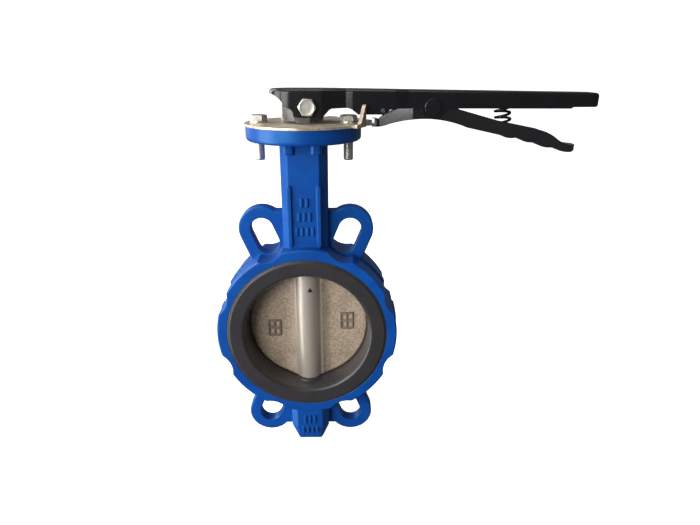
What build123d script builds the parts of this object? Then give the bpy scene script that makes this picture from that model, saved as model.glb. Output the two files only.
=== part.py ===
from build123d import *
import os

os.makedirs("parts", exist_ok=True)

# Wafer butterfly valve, DN 100, with a squeeze-trigger lever and a notched position plate.
# Millimetres. The origin is the middle of the bore, on the stem's axis. Y runs along the pipe,
# +Z up the stem, and the lever points along +X when the valve is closed.

# --- driving dimensions -------------------------------------------------------------------
# barrel
face_to_face = 52.0          # over the liner's sealing lips
lip_proud = 0.6              # how far each lip stands out of the casting
barrel_r = 76.2
barrel_edge = 1.6            # rounding of the barrel's rims
seam_rib_r = 77.4            # low rib round the barrel on the mould's parting line
seam_rib_width = 9.0
bolt_circle_r = 90.0         # eight flange bolts, at 22.5 degrees and every 45 degrees on
scallop_r = 18.0             # clearance round each flange bolt
half_depth = face_to_face / 2 - lip_proud

# ears that hold the flange bolts
ear_thickness = 11.0
ear_edge = 1.4
ear_r = 19.4
ear_hole_r = 9.5
ear_lean = 22.5              # degrees from the stem's axis
upper_ear_reach = 95.0       # bore centre to the centre of an ear's round end
lower_ear_reach = 97.6
slot_start_reach = 82.6      # centre of a slot's inner end
ear_root = 60.0              # where an ear starts, inside the barrel
web_half_width = 30.0
upper_web_top = 103.6
lower_web_top = 103.0
web_foot = 65.0

# neck, top flange and bottom boss
neck_half_width = 18.4
neck_half_depth = 18.0
neck_root = 55.0             # where the neck and the boss start, inside the barrel
neck_flat_half = 12.2        # half width of the neck's front panel, between its chamfers
neck_chamfer_depth = 7.0
flange_r = 45.0
flange_top = 171.3
flange_thickness = 11.2
flange_edge = 2.8
flange_bolt_x = 35.0         # two bolts, 70 mm apart
boss_half_width = 17.0
boss_half_depth = 16.5
boss_flat_half = 11.4
boss_chamfer_depth = 5.0
boss_taper_z = -100.0
boss_bottom_z = -113.7
boss_tip_half_width = 11.2
boss_tip_half_depth = 13.5
boss_tip_flat_half = 9.6
boss_tip_chamfer_depth = 2.4
neck_rib_x = 11.6
neck_rib_width = 3.2
neck_rib_top = 125.0
neck_rib_foot = 78.0
neck_rib_proud = 1.7
mark_proud = 0.9
mark_width = 2.2
mark_height = 7.0
mark_pitch = 4.3
mark_rows = ((113.0, 2), (101.4, 3), (89.3, 4))   # height of each row, and its bars
boss_mark_width = 2.0
boss_mark_pitch = 4.2
boss_mark_rows = ((-91.2, 8.0, 3), (-102.8, 6.4, 4))   # height, bar length and bars of each row
gusset_low = 150.8
gusset_x = 10.6
gusset_y = 17.6
gusset_width = 8.0
gusset_depth = 5.6

# liner
liner_r = 59.8
liner_lip_r = 67.5
liner_lip_depth = 6.0
liner_step_r = 65.6          # the sealing face is raised inside this radius
liner_step = 0.6
liner_mouth_r = 54.6
seat_r = 52.0
seat_half_width = 9.0
backing_r = 56.9
backing_half_width = 17.0
collar_r = 15.0              # flat collar round the stem, where the disc's hub seals
collar_reach = 50.7

# disc
disc_r = 51.7
disc_half_height = 50.4
disc_half_thickness = 3.4
disc_root_half_thickness = 5.2
hub_r = 12.0
disc_pin_r = 3.0
disc_pin_heights = (-30.0, 33.0)
disc_mark_spots = ((-30.0, -3.5), (33.6, 3.2))
disc_mark_size = (12.0, 16.0)
disc_mark_line = 1.8
disc_mark_proud = 0.9
arrow_spot = (2.4, 35.2)
arrow_r = 3.2

# stem, bushings and seals
stem_r = 7.9
stem_bottom = -104.0
stem_top = 191.0
square_side = 11.0
square_start = 172.6
bush_gap = 0.05
bush_r = 11.0
bore_clear_r = 8.6
upper_bush = (139.0, 164.0)
middle_bush = (liner_r + 0.4, 84.0)
lower_bush = (-103.0, -liner_r - 0.4)
blind_bottom = -106.5
oring_wire_r = 1.3
oring_heights = (146.0, 155.0, 70.0, -70.0)
recess_r = 15.0
recess_bottom = 164.0
ring_groove_r = 6.6
retaining_ring = (166.0, 168.0)
retaining_ring_r = 11.6
top_washer = (168.3, 171.0)

# position plate
plate_thickness = 1.8
plate_r = 45.6
sector_r = 57.0
notch_root_r = 52.3
notch_width = 6.2
notch_pitch = 15             # degrees
notch_count = 7
sector_start = -5            # degrees from the closed position
shoulder_start = -20
closed_tab = (-36, 18)       # start and span of each stop tab, in degrees
open_tab = (107, 9)
tab_inner_r = 48.2
tab_thickness = 2.6
tab_height = 16.6            # above the plate's lower face
tab_gap = 14.0               # half the room between the tabs and the lever's middle line
plate_top = flange_top + plate_thickness

# fasteners (M8, the small head, 12 mm across the flats)
m8_r = 4.0
m8_across_flats = 12.0
m8_head = 4.6
washer_r = 6.6
washer_thickness = 1.0
plate_bolt_tip = 144.0

# lever
wall = 2.5
head_x = -8.6                # centre of the rounded nose
head_half = 17.0
head_top = 198.2
grip_top = 195.6
grip_end_x = 225.4
grip_low = 184.2
cheek_low = 178.0
nose_low = 194.8
head_flat_x = 25.0           # the crown slopes down to the grip from here
waist_x = 33.0
waist_half = 12.6
lug_x = 38.0
lug_half = 13.4
grip_half = 12.0
end_round = 6.0
end_corner = 3.6              # rounding of the grip's end, seen from the side
crown_round = 2.6
lug_low = 179.8
lobe_r = 8.8
socket_r = 15.6
socket_bottom = 174.8
socket_top = 192.0
set_bolt_x = 4.2
set_bolt_z = 185.4
set_bolt_turn = 27

# trigger
pivot_x = 98.5
pivot_z = 185.2
pivot_r = 4.0
pivot_gap = 0.05
pivot_head_r = 6.2
pivot_head = 1.0
trigger_half = 9.1
trigger_wall = 2.2
tooth_half = 2.7
trigger_arm_x = 59.0
trigger_full_x = 84.0
trigger_end_x = 213.4
tip_round = 7.5
trigger_floor = 145.0        # below everything in the trigger
stop_pin_x = 61.0
stop_pin_z = 182.7
stop_pin_r = 1.9
spring_top = (153.1, 193.9)
spring_foot = (156.8, 166.9)
spring_r = 5.6               # to the middle of the wire
spring_wire_r = 0.9
spring_turns = 5


def finish(block, label):
    """Name a finished piece and write it as its own STEP file."""
    block.part.label = label
    export_step(block.part, f"parts/{label}.step")


# --- ears: two plates on the mould's parting plane, each joined to the body by a web ---------
def ear_outline(reach, web_top, up):
    """Face of a pair of ears and their web, above the bore (up = 1) or below it (up = -1)."""
    with BuildSketch(Plane.XZ) as face:
        for side in (-1, 1):
            lean = 90 * up - side * up * ear_lean
            with PolarLocations((reach + ear_root) / 2, 1, start_angle=lean):
                SlotCenterToCenter(reach - ear_root, 2 * ear_r)
        with Locations((0, up * (web_top + web_foot) / 2)):
            Rectangle(2 * web_half_width, web_top - web_foot)
    return face.sketch


with BuildPart() as ears:
    for outline in (
        ear_outline(upper_ear_reach, upper_web_top, 1),
        ear_outline(lower_ear_reach, lower_web_top, -1),
    ):
        extrude(outline, amount=ear_thickness / 2, both=True)
    fillet(ears.edges().filter_by(Axis.Y, reverse=True), radius=ear_edge)

# --- valve body ---------------------------------------------------------------------------
def octagon(half_width, half_depth_y, flat_half, chamfer_depth):
    """Corners of an eight-sided section, flat towards both faces of the valve."""
    quarter = [(flat_half, half_depth_y), (half_width, half_depth_y - chamfer_depth)]
    right = [(x, -y) for x, y in quarter] + [(x, y) for x, y in reversed(quarter)]
    return right + [(-x, -y) for x, y in right]


with BuildPart() as valve_body:
    # barrel, a plain disc for now
    with BuildSketch(Plane.XZ):
        Circle(barrel_r)
    extrude(amount=half_depth, both=True)
    rims = valve_body.edges().filter_by(GeomType.CIRCLE)
    fillet(rims, radius=barrel_edge)
    with BuildSketch(Plane.XZ):
        Circle(seam_rib_r)
    extrude(amount=seam_rib_width / 2, both=True)
    # clearance for the eight flange bolts
    with BuildSketch(Plane.XZ):
        with PolarLocations(bolt_circle_r, 8, start_angle=ear_lean):
            Circle(scallop_r)
    extrude(amount=half_depth + 1, both=True, mode=Mode.SUBTRACT)
    add(ears.part)
    # neck
    with BuildSketch(Plane.XY.offset(neck_root)):
        Polygon(
            *octagon(neck_half_width, neck_half_depth, neck_flat_half, neck_chamfer_depth),
            align=None,
        )
    extrude(amount=flange_top - flange_thickness - neck_root + 1)
    # bottom boss, straight and then tapered to its foot
    boss = octagon(boss_half_width, boss_half_depth, boss_flat_half, boss_chamfer_depth)
    boss_tip = octagon(
        boss_tip_half_width, boss_tip_half_depth, boss_tip_flat_half, boss_tip_chamfer_depth
    )
    with BuildSketch(Plane.XY.offset(boss_taper_z)):
        Polygon(*boss, align=None)
    extrude(amount=-boss_taper_z - neck_root)
    with BuildSketch(Plane.XY.offset(boss_taper_z)):
        Polygon(*boss, align=None)
    with BuildSketch(Plane.XY.offset(boss_bottom_z)):
        Polygon(*boss_tip, align=None)
    loft()
    # top flange, its lower edge rounded
    with BuildSketch(Plane.XY.offset(flange_top - flange_thickness)):
        Circle(flange_r)
    extrude(amount=flange_thickness)
    low_edge = valve_body.edges().filter_by(GeomType.CIRCLE).filter_by(Plane.XY)
    flange_low = flange_top - flange_thickness
    low_edge = low_edge.filter_by_position(Axis.Z, flange_low - 0.1, flange_low + 0.1)
    fillet(low_edge.sort_by(SortBy.RADIUS)[-1:], radius=flange_edge)
    # four gussets under the flange, at the neck's corners
    with BuildSketch(Plane.XY.offset(gusset_low)):
        with GridLocations(2 * gusset_x, 2 * gusset_y, 2, 2):
            RectangleRounded(gusset_width, gusset_depth, 2)
    extrude(amount=flange_top - flange_thickness - gusset_low + 1)
    # two ribs down each face of the neck, rows of plain raised bars between them and on the boss
    for face in (1, -1):
        panel = Plane.XZ.offset(face * (neck_half_depth - 1))
        height = neck_rib_top - neck_rib_foot
        with BuildSketch(panel):
            with Locations(*[(x, neck_rib_foot + height / 2) for x in (-neck_rib_x, neck_rib_x)]):
                SlotCenterToCenter(height, neck_rib_width, rotation=90)
        extrude(amount=face * (1 + neck_rib_proud))
        with BuildSketch(panel):
            for z, bars in mark_rows:
                with Locations((0, z)):
                    with GridLocations(mark_pitch, 1, bars, 1):
                        Rectangle(mark_width, mark_height)
        extrude(amount=face * (1 + mark_proud))
        with BuildSketch(Plane.XZ.offset(face * (boss_half_depth - 1))):
            for z, length, bars in boss_mark_rows:
                with Locations((0, z)):
                    with GridLocations(boss_mark_pitch, 1, bars, 1):
                        Rectangle(boss_mark_width, length)
        extrude(amount=face * (1 + mark_proud))
    # room for the liner
    with BuildSketch(Plane.XZ):
        Circle(liner_r)
    extrude(amount=half_depth + 1, both=True, mode=Mode.SUBTRACT)
    for face in (1, -1):
        with BuildSketch(Plane.XZ.offset(face * (half_depth - liner_lip_depth))):
            Circle(liner_lip_r)
        extrude(amount=face * (liner_lip_depth + 1), mode=Mode.SUBTRACT)
    # slots in the ears for the flange bolts
    for reach, up in ((upper_ear_reach, 1), (lower_ear_reach, -1)):
        with BuildSketch(Plane.XZ):
            for side in (-1, 1):
                middle = (slot_start_reach + reach) / 2
                with PolarLocations(middle, 1, start_angle=90 * up - side * up * ear_lean):
                    SlotCenterToCenter(reach - slot_start_reach, 2 * ear_hole_r)
        extrude(amount=half_depth, both=True, mode=Mode.SUBTRACT)
    # stem bore, from the top: recess, bushing seat, clearance, bushing seat
    for bottom, top, radius in (
        (recess_bottom, flange_top + 1, recess_r),
        (upper_bush[0], recess_bottom, bush_r),
        (liner_r - 2, upper_bush[0], bore_clear_r),
        (liner_r - 2, middle_bush[1], bush_r),
        (blind_bottom, -liner_r + 2, bush_r),
    ):
        with BuildSketch(Plane.XY.offset(bottom)):
            Circle(radius)
        extrude(amount=top - bottom, mode=Mode.SUBTRACT)
    # tapped holes for the plate's two bolts
    with BuildSketch(Plane.XY.offset(flange_top + 1)):
        with Locations((-flange_bolt_x, 0), (flange_bolt_x, 0)):
            Circle(m8_r)
    extrude(amount=-flange_thickness - 2, mode=Mode.SUBTRACT)

finish(valve_body, "valve_body")

# --- liner: rubber seat, moulded on a rigid backing ring ------------------------------------
with BuildPart() as seat_liner:
    mouth = half_depth + lip_proud
    with BuildSketch(Plane.XY):
        with BuildLine():
            Polyline(
                (seat_r, 0),
                (seat_r, seat_half_width),
                (liner_mouth_r - 1.6, mouth - 2.2),
            )
            ThreePointArc(
                (liner_mouth_r - 1.6, mouth - 2.2),
                (liner_mouth_r - 0.5, mouth - 0.5),
                (liner_mouth_r + 1.2, mouth),
            )
            Polyline(
                (liner_mouth_r + 1.2, mouth),
                (liner_step_r, mouth),
                (liner_step_r + 0.3, mouth - liner_step),
                (liner_lip_r, mouth - liner_step),
                (liner_lip_r, half_depth - liner_lip_depth),
                (liner_r, half_depth - liner_lip_depth),
                (liner_r, 0),
                (seat_r, 0),
            )
        make_face()
    revolve(axis=Axis.Y)
    mirror(about=Plane.XZ)
    # flat collars where the stem passes
    for up in (1, -1):
        with BuildSketch(Plane.XY.offset(up * collar_reach)):
            Circle(collar_r)
        extrude(amount=up * (liner_r - 3.5 - collar_reach))
    # room for the backing ring, and the stem's hole
    with BuildSketch(Plane.XY):
        with Locations(((backing_r + liner_r) / 2, 0)):
            Rectangle(liner_r - backing_r, 2 * backing_half_width)
    revolve(axis=Axis.Y, mode=Mode.SUBTRACT)
    with BuildSketch(Plane.XY):
        Circle(stem_r + bush_gap)
    extrude(amount=liner_r + 5, both=True, mode=Mode.SUBTRACT)

finish(seat_liner, "seat_liner")

with BuildPart() as seat_backing:
    with BuildSketch(Plane.XY):
        with Locations(((backing_r + liner_r) / 2, 0)):
            Rectangle(liner_r - backing_r, 2 * backing_half_width)
    revolve(axis=Axis.Y)
    with BuildSketch(Plane.XY):
        Circle(stem_r + bush_gap)
    extrude(amount=liner_r + 5, both=True, mode=Mode.SUBTRACT)

finish(seat_backing, "seat_backing")

# --- disc: two wings on a hub that the stem passes through ----------------------------------
with BuildPart() as disc:
    with BuildSketch(Plane.XY):
        with BuildLine():
            Polyline(
                (0, 0),
                (disc_r - 1.2, 0),
                (disc_r, 0),
                (disc_r, disc_half_thickness - 1.4),
                (disc_r - 1.4, disc_half_thickness),
                (hub_r + 14, disc_half_thickness),
                (hub_r, disc_root_half_thickness),
                (0, disc_root_half_thickness),
                (0, 0),
            )
        make_face()
    revolve(axis=Axis.Y)
    mirror(about=Plane.XZ)
    with BuildSketch(Plane.XY.offset(-disc_half_height)):
        Circle(hub_r)
    extrude(amount=2 * disc_half_height)
    # cut flat where the hub's ends seal against the liner's collars
    with BuildSketch(Plane.XY.offset(-disc_half_height)):
        Rectangle(2 * disc_r + 2, 2 * disc_r + 2)
    extrude(amount=2 * disc_half_height, mode=Mode.INTERSECT)
    # square frames with a plain cross inside, raised on both wings of both faces
    width, height = disc_mark_size
    for face in (1, -1):
        with BuildSketch(Plane.XZ.offset(face * (disc_half_thickness - 1))):
            with Locations(*disc_mark_spots):
                Rectangle(width, height)
                Rectangle(
                    width - 2 * disc_mark_line, height - 2 * disc_mark_line, mode=Mode.SUBTRACT
                )
                Rectangle(disc_mark_line, height - disc_mark_line)
                Rectangle(width - disc_mark_line, disc_mark_line)
        extrude(amount=face * (1 + disc_mark_proud))
    # arrow-shaped pocket near the hub's top
    for face in (1, -1):
        with BuildSketch(Plane.XZ.offset(face * (hub_r - 1.2))):
            with Locations(arrow_spot):
                RegularPolygon(arrow_r, 3, rotation=90)
        extrude(amount=face * 3, mode=Mode.SUBTRACT)
    # stem's hole and the two pins' holes
    with BuildSketch(Plane.XY):
        Circle(stem_r)
    extrude(amount=disc_r, both=True, mode=Mode.SUBTRACT)
    with BuildSketch(Plane.XZ):
        with Locations(*[(0, z) for z in disc_pin_heights]):
            Circle(disc_pin_r)
    extrude(amount=-hub_r - 1, mode=Mode.SUBTRACT)

finish(disc, "disc")

with BuildPart() as disc_pins:
    with BuildSketch(Plane.XZ.offset(stem_r - 2)):
        with Locations(*[(0, z) for z in disc_pin_heights]):
            Circle(disc_pin_r)
    extrude(amount=-(stem_r - 2 + hub_r - 0.6))

finish(disc_pins, "disc_pins")

# --- stem -------------------------------------------------------------------------------
with BuildPart() as stem:
    with BuildSketch(Plane.XY.offset(stem_bottom)):
        Circle(stem_r)
    extrude(amount=square_start - stem_bottom)
    with BuildSketch(Plane.XY.offset(square_start)):
        Rectangle(square_side, square_side)
        Circle(stem_r, mode=Mode.INTERSECT)
    extrude(amount=stem_top - square_start)
    ends = stem.faces().filter_by(Axis.Z).sort_by(Axis.Z)
    chamfer(ends[0].edges() + ends[-1].edges(), length=0.8)
    with BuildSketch(Plane.XY.offset(retaining_ring[0])):
        Circle(stem_r + 1)
        Circle(ring_groove_r, mode=Mode.SUBTRACT)
    extrude(amount=retaining_ring[1] - retaining_ring[0], mode=Mode.SUBTRACT)
    with BuildSketch(Plane.XZ.offset(stem_r - 2)):
        with Locations(*[(0, z) for z in disc_pin_heights]):
            Circle(disc_pin_r)
    extrude(amount=-2 * stem_r, mode=Mode.SUBTRACT)

finish(stem, "stem")

with BuildPart() as stem_retaining_ring:
    with BuildSketch(Plane.XY.offset(retaining_ring[0])):
        Circle(retaining_ring_r)
        Circle(ring_groove_r, mode=Mode.SUBTRACT)
        with Locations((0, retaining_ring_r)):
            Rectangle(5, 2 * retaining_ring_r - 2 * ring_groove_r + 3, mode=Mode.SUBTRACT)
    extrude(amount=retaining_ring[1] - retaining_ring[0])

finish(stem_retaining_ring, "stem_retaining_ring")

# --- bushings, seals and washers round the stem ---------------------------------------------
bushings = {
    "upper_bushing": (upper_bush, oring_heights[0:2]),
    "middle_bushing": (middle_bush, oring_heights[2:3]),
    "lower_bushing": (lower_bush, oring_heights[3:4]),
}
for name, ((bottom, top), grooves) in bushings.items():
    with BuildPart() as bushing:
        with BuildSketch(Plane.XY.offset(bottom)):
            Circle(bush_r)
            Circle(stem_r + bush_gap, mode=Mode.SUBTRACT)
        extrude(amount=top - bottom)
        for height in grooves:
            with BuildSketch(Plane.XY.offset(height - oring_wire_r - 0.1)):
                Circle(stem_r + bush_gap + 2 * oring_wire_r + 0.1)
                Circle(stem_r, mode=Mode.SUBTRACT)
            extrude(amount=2 * oring_wire_r + 0.2, mode=Mode.SUBTRACT)
    finish(bushing, name)

with BuildPart() as stem_o_rings:
    for height in oring_heights:
        with BuildSketch(Plane.XZ):
            with Locations((stem_r + bush_gap + oring_wire_r, height)):
                Circle(oring_wire_r)
        revolve(axis=Axis.Z)

finish(stem_o_rings, "stem_o_rings")

with BuildPart() as top_thrust_washer:
    with BuildSketch(Plane.XY.offset(top_washer[0])):
        Circle(recess_r)
        Circle(stem_r + 0.4, mode=Mode.SUBTRACT)
    extrude(amount=top_washer[1] - top_washer[0])

finish(top_thrust_washer, "top_thrust_washer")

with BuildPart() as foot_thrust_pad:
    with BuildSketch(Plane.XY.offset(blind_bottom)):
        Circle(bush_r)
    extrude(amount=stem_bottom - blind_bottom - 0.1)

finish(foot_thrust_pad, "foot_thrust_pad")

# --- position plate: seven notches from closed to open, and a stop tab at each end -----------
with BuildPart() as notch_plate:
    with BuildSketch(Plane.XY.offset(flange_top)):
        Circle(plate_r)
        # sector that carries the notches
        with BuildLine():
            sector = CenterArc((0, 0), sector_r, sector_start, 90 - 2 * sector_start)
            inner_start = (plate_r - 1) * Vector(1, 0).rotate(Axis.Z, shoulder_start)
            inner_end = (plate_r - 1) * Vector(1, 0).rotate(Axis.Z, 90 - shoulder_start)
            Line(sector @ 1, inner_end)
            Line(inner_end, (0, 0))
            Line((0, 0), inner_start)
            Line(inner_start, sector @ 0)
        make_face()
        # local widening under each stop tab
        for start, span in (closed_tab, open_tab):
            with BuildLine():
                rim = CenterArc((0, 0), tab_inner_r + tab_thickness, start, span)
                Line(rim @ 1, (0, 0))
                Line((0, 0), rim @ 0)
            make_face()
        Circle(stem_r + 0.6, mode=Mode.SUBTRACT)
        with Locations((-flange_bolt_x, 0), (flange_bolt_x, 0)):
            Circle(m8_r + 0.4, mode=Mode.SUBTRACT)
        for step in range(notch_count):
            with PolarLocations((notch_root_r + sector_r) / 2 + 2, 1, start_angle=step * notch_pitch):
                Rectangle(sector_r - notch_root_r + 4, notch_width, mode=Mode.SUBTRACT)
    extrude(amount=plate_thickness)
    # bent-up tabs
    for start, span in (closed_tab, open_tab):
        with BuildSketch(Plane.XY.offset(flange_top)):
            with BuildLine():
                outer = CenterArc((0, 0), tab_inner_r + tab_thickness, start, span)
                inner = CenterArc((0, 0), tab_inner_r, start, span)
                Line(outer @ 0, inner @ 0)
                Line(outer @ 1, inner @ 1)
            make_face()
        extrude(amount=tab_height)
    # the closed tab narrows upwards from the side away from the lever
    turn = sum(closed_tab)
    across = Plane(
        origin=(0, 0, plate_top),
        x_dir=Vector(0, 1, 0).rotate(Axis.Z, turn),
        z_dir=Vector(1, 0, 0).rotate(Axis.Z, turn),
    )
    with BuildSketch(across.offset(tab_inner_r - 6)):
        with BuildLine():
            Line((-18, 0.6), (-18, tab_height + 2))
            Line((-18, tab_height + 2), (3, tab_height + 2))
            Line((3, tab_height + 2), (3, tab_height - 2.6))
            ThreePointArc((3, tab_height - 2.6), (-2.2, tab_height - 3.2), (-4.4, tab_height - 6.0))
            Line((-4.4, tab_height - 6.0), (-8.6, 3.8))
            RadiusArc((-8.6, 3.8), (-13.2, 0.6), 5.0)
            Line((-13.2, 0.6), (-18, 0.6))
        make_face()
    extrude(amount=12, mode=Mode.SUBTRACT)
    # the lever's side comes against these edges
    with BuildSketch(Plane.XY.offset(plate_top)):
        with Locations((plate_r, 0), (0, plate_r)):
            Rectangle(2 * tab_gap, 2 * tab_gap)
    extrude(amount=tab_height, mode=Mode.SUBTRACT)

finish(notch_plate, "notch_plate")

# --- the plate's bolts and lock washers -----------------------------------------------------
with BuildPart() as plate_bolts:
    for x in (-flange_bolt_x, flange_bolt_x):
        with BuildSketch(Plane.XY.offset(plate_bolt_tip)):
            with Locations((x, 0)):
                Circle(m8_r)
        extrude(amount=plate_top + washer_thickness - plate_bolt_tip)
        with BuildSketch(Plane.XY.offset(plate_top + washer_thickness)):
            with Locations((x, 0)):
                RegularPolygon(m8_across_flats / 2, 6, major_radius=False, rotation=30)
        extrude(amount=m8_head)
    tips = plate_bolts.faces().filter_by(Axis.Z).sort_by(Axis.Z)[:2]
    chamfer(tips.edges(), length=0.9)
    # the heads' corners are turned off in a cone
    for x in (-flange_bolt_x, flange_bolt_x):
        with BuildSketch(Plane.XZ):
            with BuildLine():
                Polyline(
                    (x + m8_across_flats / 2 - 0.2, plate_top + washer_thickness + m8_head),
                    (x + m8_across_flats / 2 + 2, plate_top + washer_thickness + m8_head),
                    (x + m8_across_flats / 2 + 2, plate_top + washer_thickness + m8_head - 1.2),
                    (x + m8_across_flats / 2 - 0.2, plate_top + washer_thickness + m8_head),
                )
            make_face()
        revolve(axis=Axis((x, 0, 0), (0, 0, 1)), mode=Mode.SUBTRACT)

finish(plate_bolts, "plate_bolts")

with BuildPart() as lock_washers:
    for x in (-flange_bolt_x, flange_bolt_x):
        with BuildSketch(Plane.XY.offset(plate_top)):
            with Locations((x, 0)):
                Circle(washer_r)
                Circle(m8_r + 0.1, mode=Mode.SUBTRACT)
            with Locations((x, washer_r)):
                Rectangle(1.0, 2 * washer_r - 2 * m8_r + 3, rotation=20, mode=Mode.SUBTRACT)
        extrude(amount=washer_thickness)

finish(lock_washers, "lock_washers")

# --- lever: a deep-drawn channel, open underneath, round at both ends -------------------------
def plan_outline(inset, low):
    """Face of the lever seen from above, drawn inwards by inset, at height low."""
    half = head_half - inset
    end = grip_end_x - inset
    with BuildSketch(Plane.XY.offset(low)) as face:
        with BuildLine():
            CenterArc((head_x, 0), half, 90, 180)
            for side in (-1, 1):
                Polyline(
                    (head_x, side * half),
                    (15, side * half),
                    (waist_x, side * (waist_half - inset)),
                    (lug_x, side * (lug_half - inset)),
                    (70, side * (lug_half - inset)),
                    (80, side * (grip_half - inset)),
                    (end - end_round, side * (grip_half - inset)),
                )
                RadiusArc(
                    (end - end_round, side * (grip_half - inset)),
                    (end, side * (grip_half - inset - end_round)),
                    side * end_round,
                )
            Line((end, grip_half - inset - end_round), (end, inset + end_round - grip_half))
        make_face()
    return face.sketch


def top_line(drop):
    """Corners of the lever's upper edge in the XZ plane, from right to left."""
    return [(grip_end_x + 1, grip_top - drop), (head_flat_x, head_top - drop), (-27, head_top - drop)]


with BuildPart() as lever_hollow:
    extrude(plan_outline(wall, cheek_low - 10), amount=40)
    with BuildSketch(Plane.XZ):
        Polygon((-27, 150), (grip_end_x + 1, 150), *top_line(wall), align=None)
    extrude(amount=30, both=True, mode=Mode.INTERSECT)

with BuildPart() as lever:
    extrude(plan_outline(0, cheek_low - 4), amount=40)
    with BuildSketch(Plane.XZ):
        with BuildLine():
            Polyline(*top_line(0), (-27, nose_low + 1), (-25.6, nose_low))
            ThreePointArc((-25.6, nose_low), (-17.0, 191.2), (-13.2, 185.6))
            Polyline((-13.2, 185.6), (-8.2, 183.8), (-6.6, 181.5), (-6.6, cheek_low + 0.8))
            Polyline((-6.6, cheek_low + 0.8), (-5.4, cheek_low), (6, cheek_low), (14.6, cheek_low - 1.0))
            Polyline((14.6, cheek_low - 1.0), (20.6, grip_low - 0.9), (22.4, grip_low))
            Polyline((22.4, grip_low), (34.5, grip_low + 0.4), (37.4, grip_low - 0.6))
            Polyline((37.4, grip_low - 0.6), (41.2, lug_low + 0.8), (42.2, lug_low))
            Polyline((42.2, lug_low), (61.6, lug_low), (64.2, lug_low + 1.6), (66.2, grip_low - 0.8))
            Polyline((66.2, grip_low - 0.8), (72, grip_low), (pivot_x - lobe_r, grip_low))
            ThreePointArc(
                (pivot_x - lobe_r, grip_low),
                (pivot_x, pivot_z - lobe_r),
                (pivot_x + lobe_r, grip_low),
            )
            Polyline(
                (pivot_x + lobe_r, grip_low),
                (203.5, grip_low),
                (205, grip_low + 1.1),
                (grip_end_x + 1, grip_low + 1.3),
                (grip_end_x + 1, grip_top),
            )
        make_face()
    extrude(amount=30, both=True, mode=Mode.INTERSECT)
    crown = lever.edges().filter_by_position(Axis.Z, grip_top - 0.1, head_top + 0.1)
    crown = crown.filter_by(Axis.Y, reverse=True)
    fillet(crown, radius=crown_round)
    # the grip's end is rounded from top to bottom too
    with BuildSketch(Plane.XZ):
        for corner_z, inward in ((grip_top + 0.1, -1), (grip_low + 1.25, 1)):
            with Locations((grip_end_x, corner_z)):
                Rectangle(2 * end_corner, 2 * end_corner)
            with Locations((grip_end_x - end_corner, corner_z + inward * end_corner)):
                Circle(end_corner, mode=Mode.SUBTRACT)
    extrude(amount=30, both=True, mode=Mode.SUBTRACT)
    add(lever_hollow.part, mode=Mode.SUBTRACT)
    # holes across the channel: set bolt, stop pin and trigger's pivot
    with BuildSketch(Plane.XZ):
        with Locations((set_bolt_x, set_bolt_z)):
            Circle(m8_r)
    extrude(amount=30, mode=Mode.SUBTRACT)
    with BuildSketch(Plane.XZ):
        with Locations((stop_pin_x, stop_pin_z)):
            Circle(stop_pin_r)
        with Locations((pivot_x, pivot_z)):
            Circle(pivot_r)
    extrude(amount=30, both=True, mode=Mode.SUBTRACT)

finish(lever, "lever")

# --- socket: welded inside the lever's head, with a square hole for the stem -------------------
with BuildPart() as lever_socket:
    with BuildSketch(Plane.XY.offset(socket_bottom)):
        Circle(socket_r)
        Rectangle(4 * socket_r, 2 * (head_half - wall), mode=Mode.INTERSECT)
        Rectangle(square_side, square_side, mode=Mode.SUBTRACT)
    extrude(amount=socket_top - socket_bottom)
    with BuildSketch(Plane.XZ):
        with Locations((set_bolt_x, set_bolt_z)):
            Circle(m8_r)
    extrude(amount=30, mode=Mode.SUBTRACT)

finish(lever_socket, "lever_socket")

# --- set bolt: through the front cheek, its tip on the stem's flat -----------------------------
with BuildPart() as set_bolt:
    with BuildSketch(Plane.XZ.offset(square_side / 2)):
        with Locations((set_bolt_x, set_bolt_z)):
            Circle(m8_r)
    extrude(amount=head_half - square_side / 2)
    with BuildSketch(Plane.XZ.offset(head_half)):
        with Locations((set_bolt_x, set_bolt_z)):
            RegularPolygon(m8_across_flats / 2, 6, major_radius=False, rotation=set_bolt_turn)
    extrude(amount=m8_head)
    with BuildSketch(Plane.XY.offset(set_bolt_z)):
        with BuildLine():
            Polyline(
                (set_bolt_x + m8_across_flats / 2 - 0.2, -head_half - m8_head),
                (set_bolt_x + m8_across_flats / 2 + 2, -head_half - m8_head),
                (set_bolt_x + m8_across_flats / 2 + 2, -head_half - m8_head + 1.2),
                (set_bolt_x + m8_across_flats / 2 - 0.2, -head_half - m8_head),
            )
        make_face()
    revolve(axis=Axis((set_bolt_x, 0, set_bolt_z), (0, 1, 0)), mode=Mode.SUBTRACT)

finish(set_bolt, "set_bolt")

# --- trigger's pivot, riveted over both cheeks, and the pin it rests against ---------------------
with BuildPart() as trigger_pivot:
    with BuildSketch(Plane.XZ):
        with Locations((pivot_x, pivot_z)):
            Circle(pivot_r)
    extrude(amount=grip_half, both=True)
    for face in (1, -1):
        with BuildSketch(Plane.XZ.offset(face * grip_half)):
            with Locations((pivot_x, pivot_z)):
                Circle(pivot_head_r)
        extrude(amount=face * pivot_head)
    heads = trigger_pivot.faces().filter_by(Axis.Y).sort_by(Axis.Y)
    fillet(heads[0].edges() + heads[-1].edges(), radius=pivot_head - 0.3)

finish(trigger_pivot, "trigger_pivot")

with BuildPart() as stop_pin:
    with BuildSketch(Plane.XZ):
        with Locations((stop_pin_x, stop_pin_z)):
            Circle(stop_pin_r)
    extrude(amount=lug_half + 0.8, both=True)
    tips = stop_pin.faces().filter_by(Axis.Y)
    chamfer(tips.edges(), length=0.5)

finish(stop_pin, "stop_pin")

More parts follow.
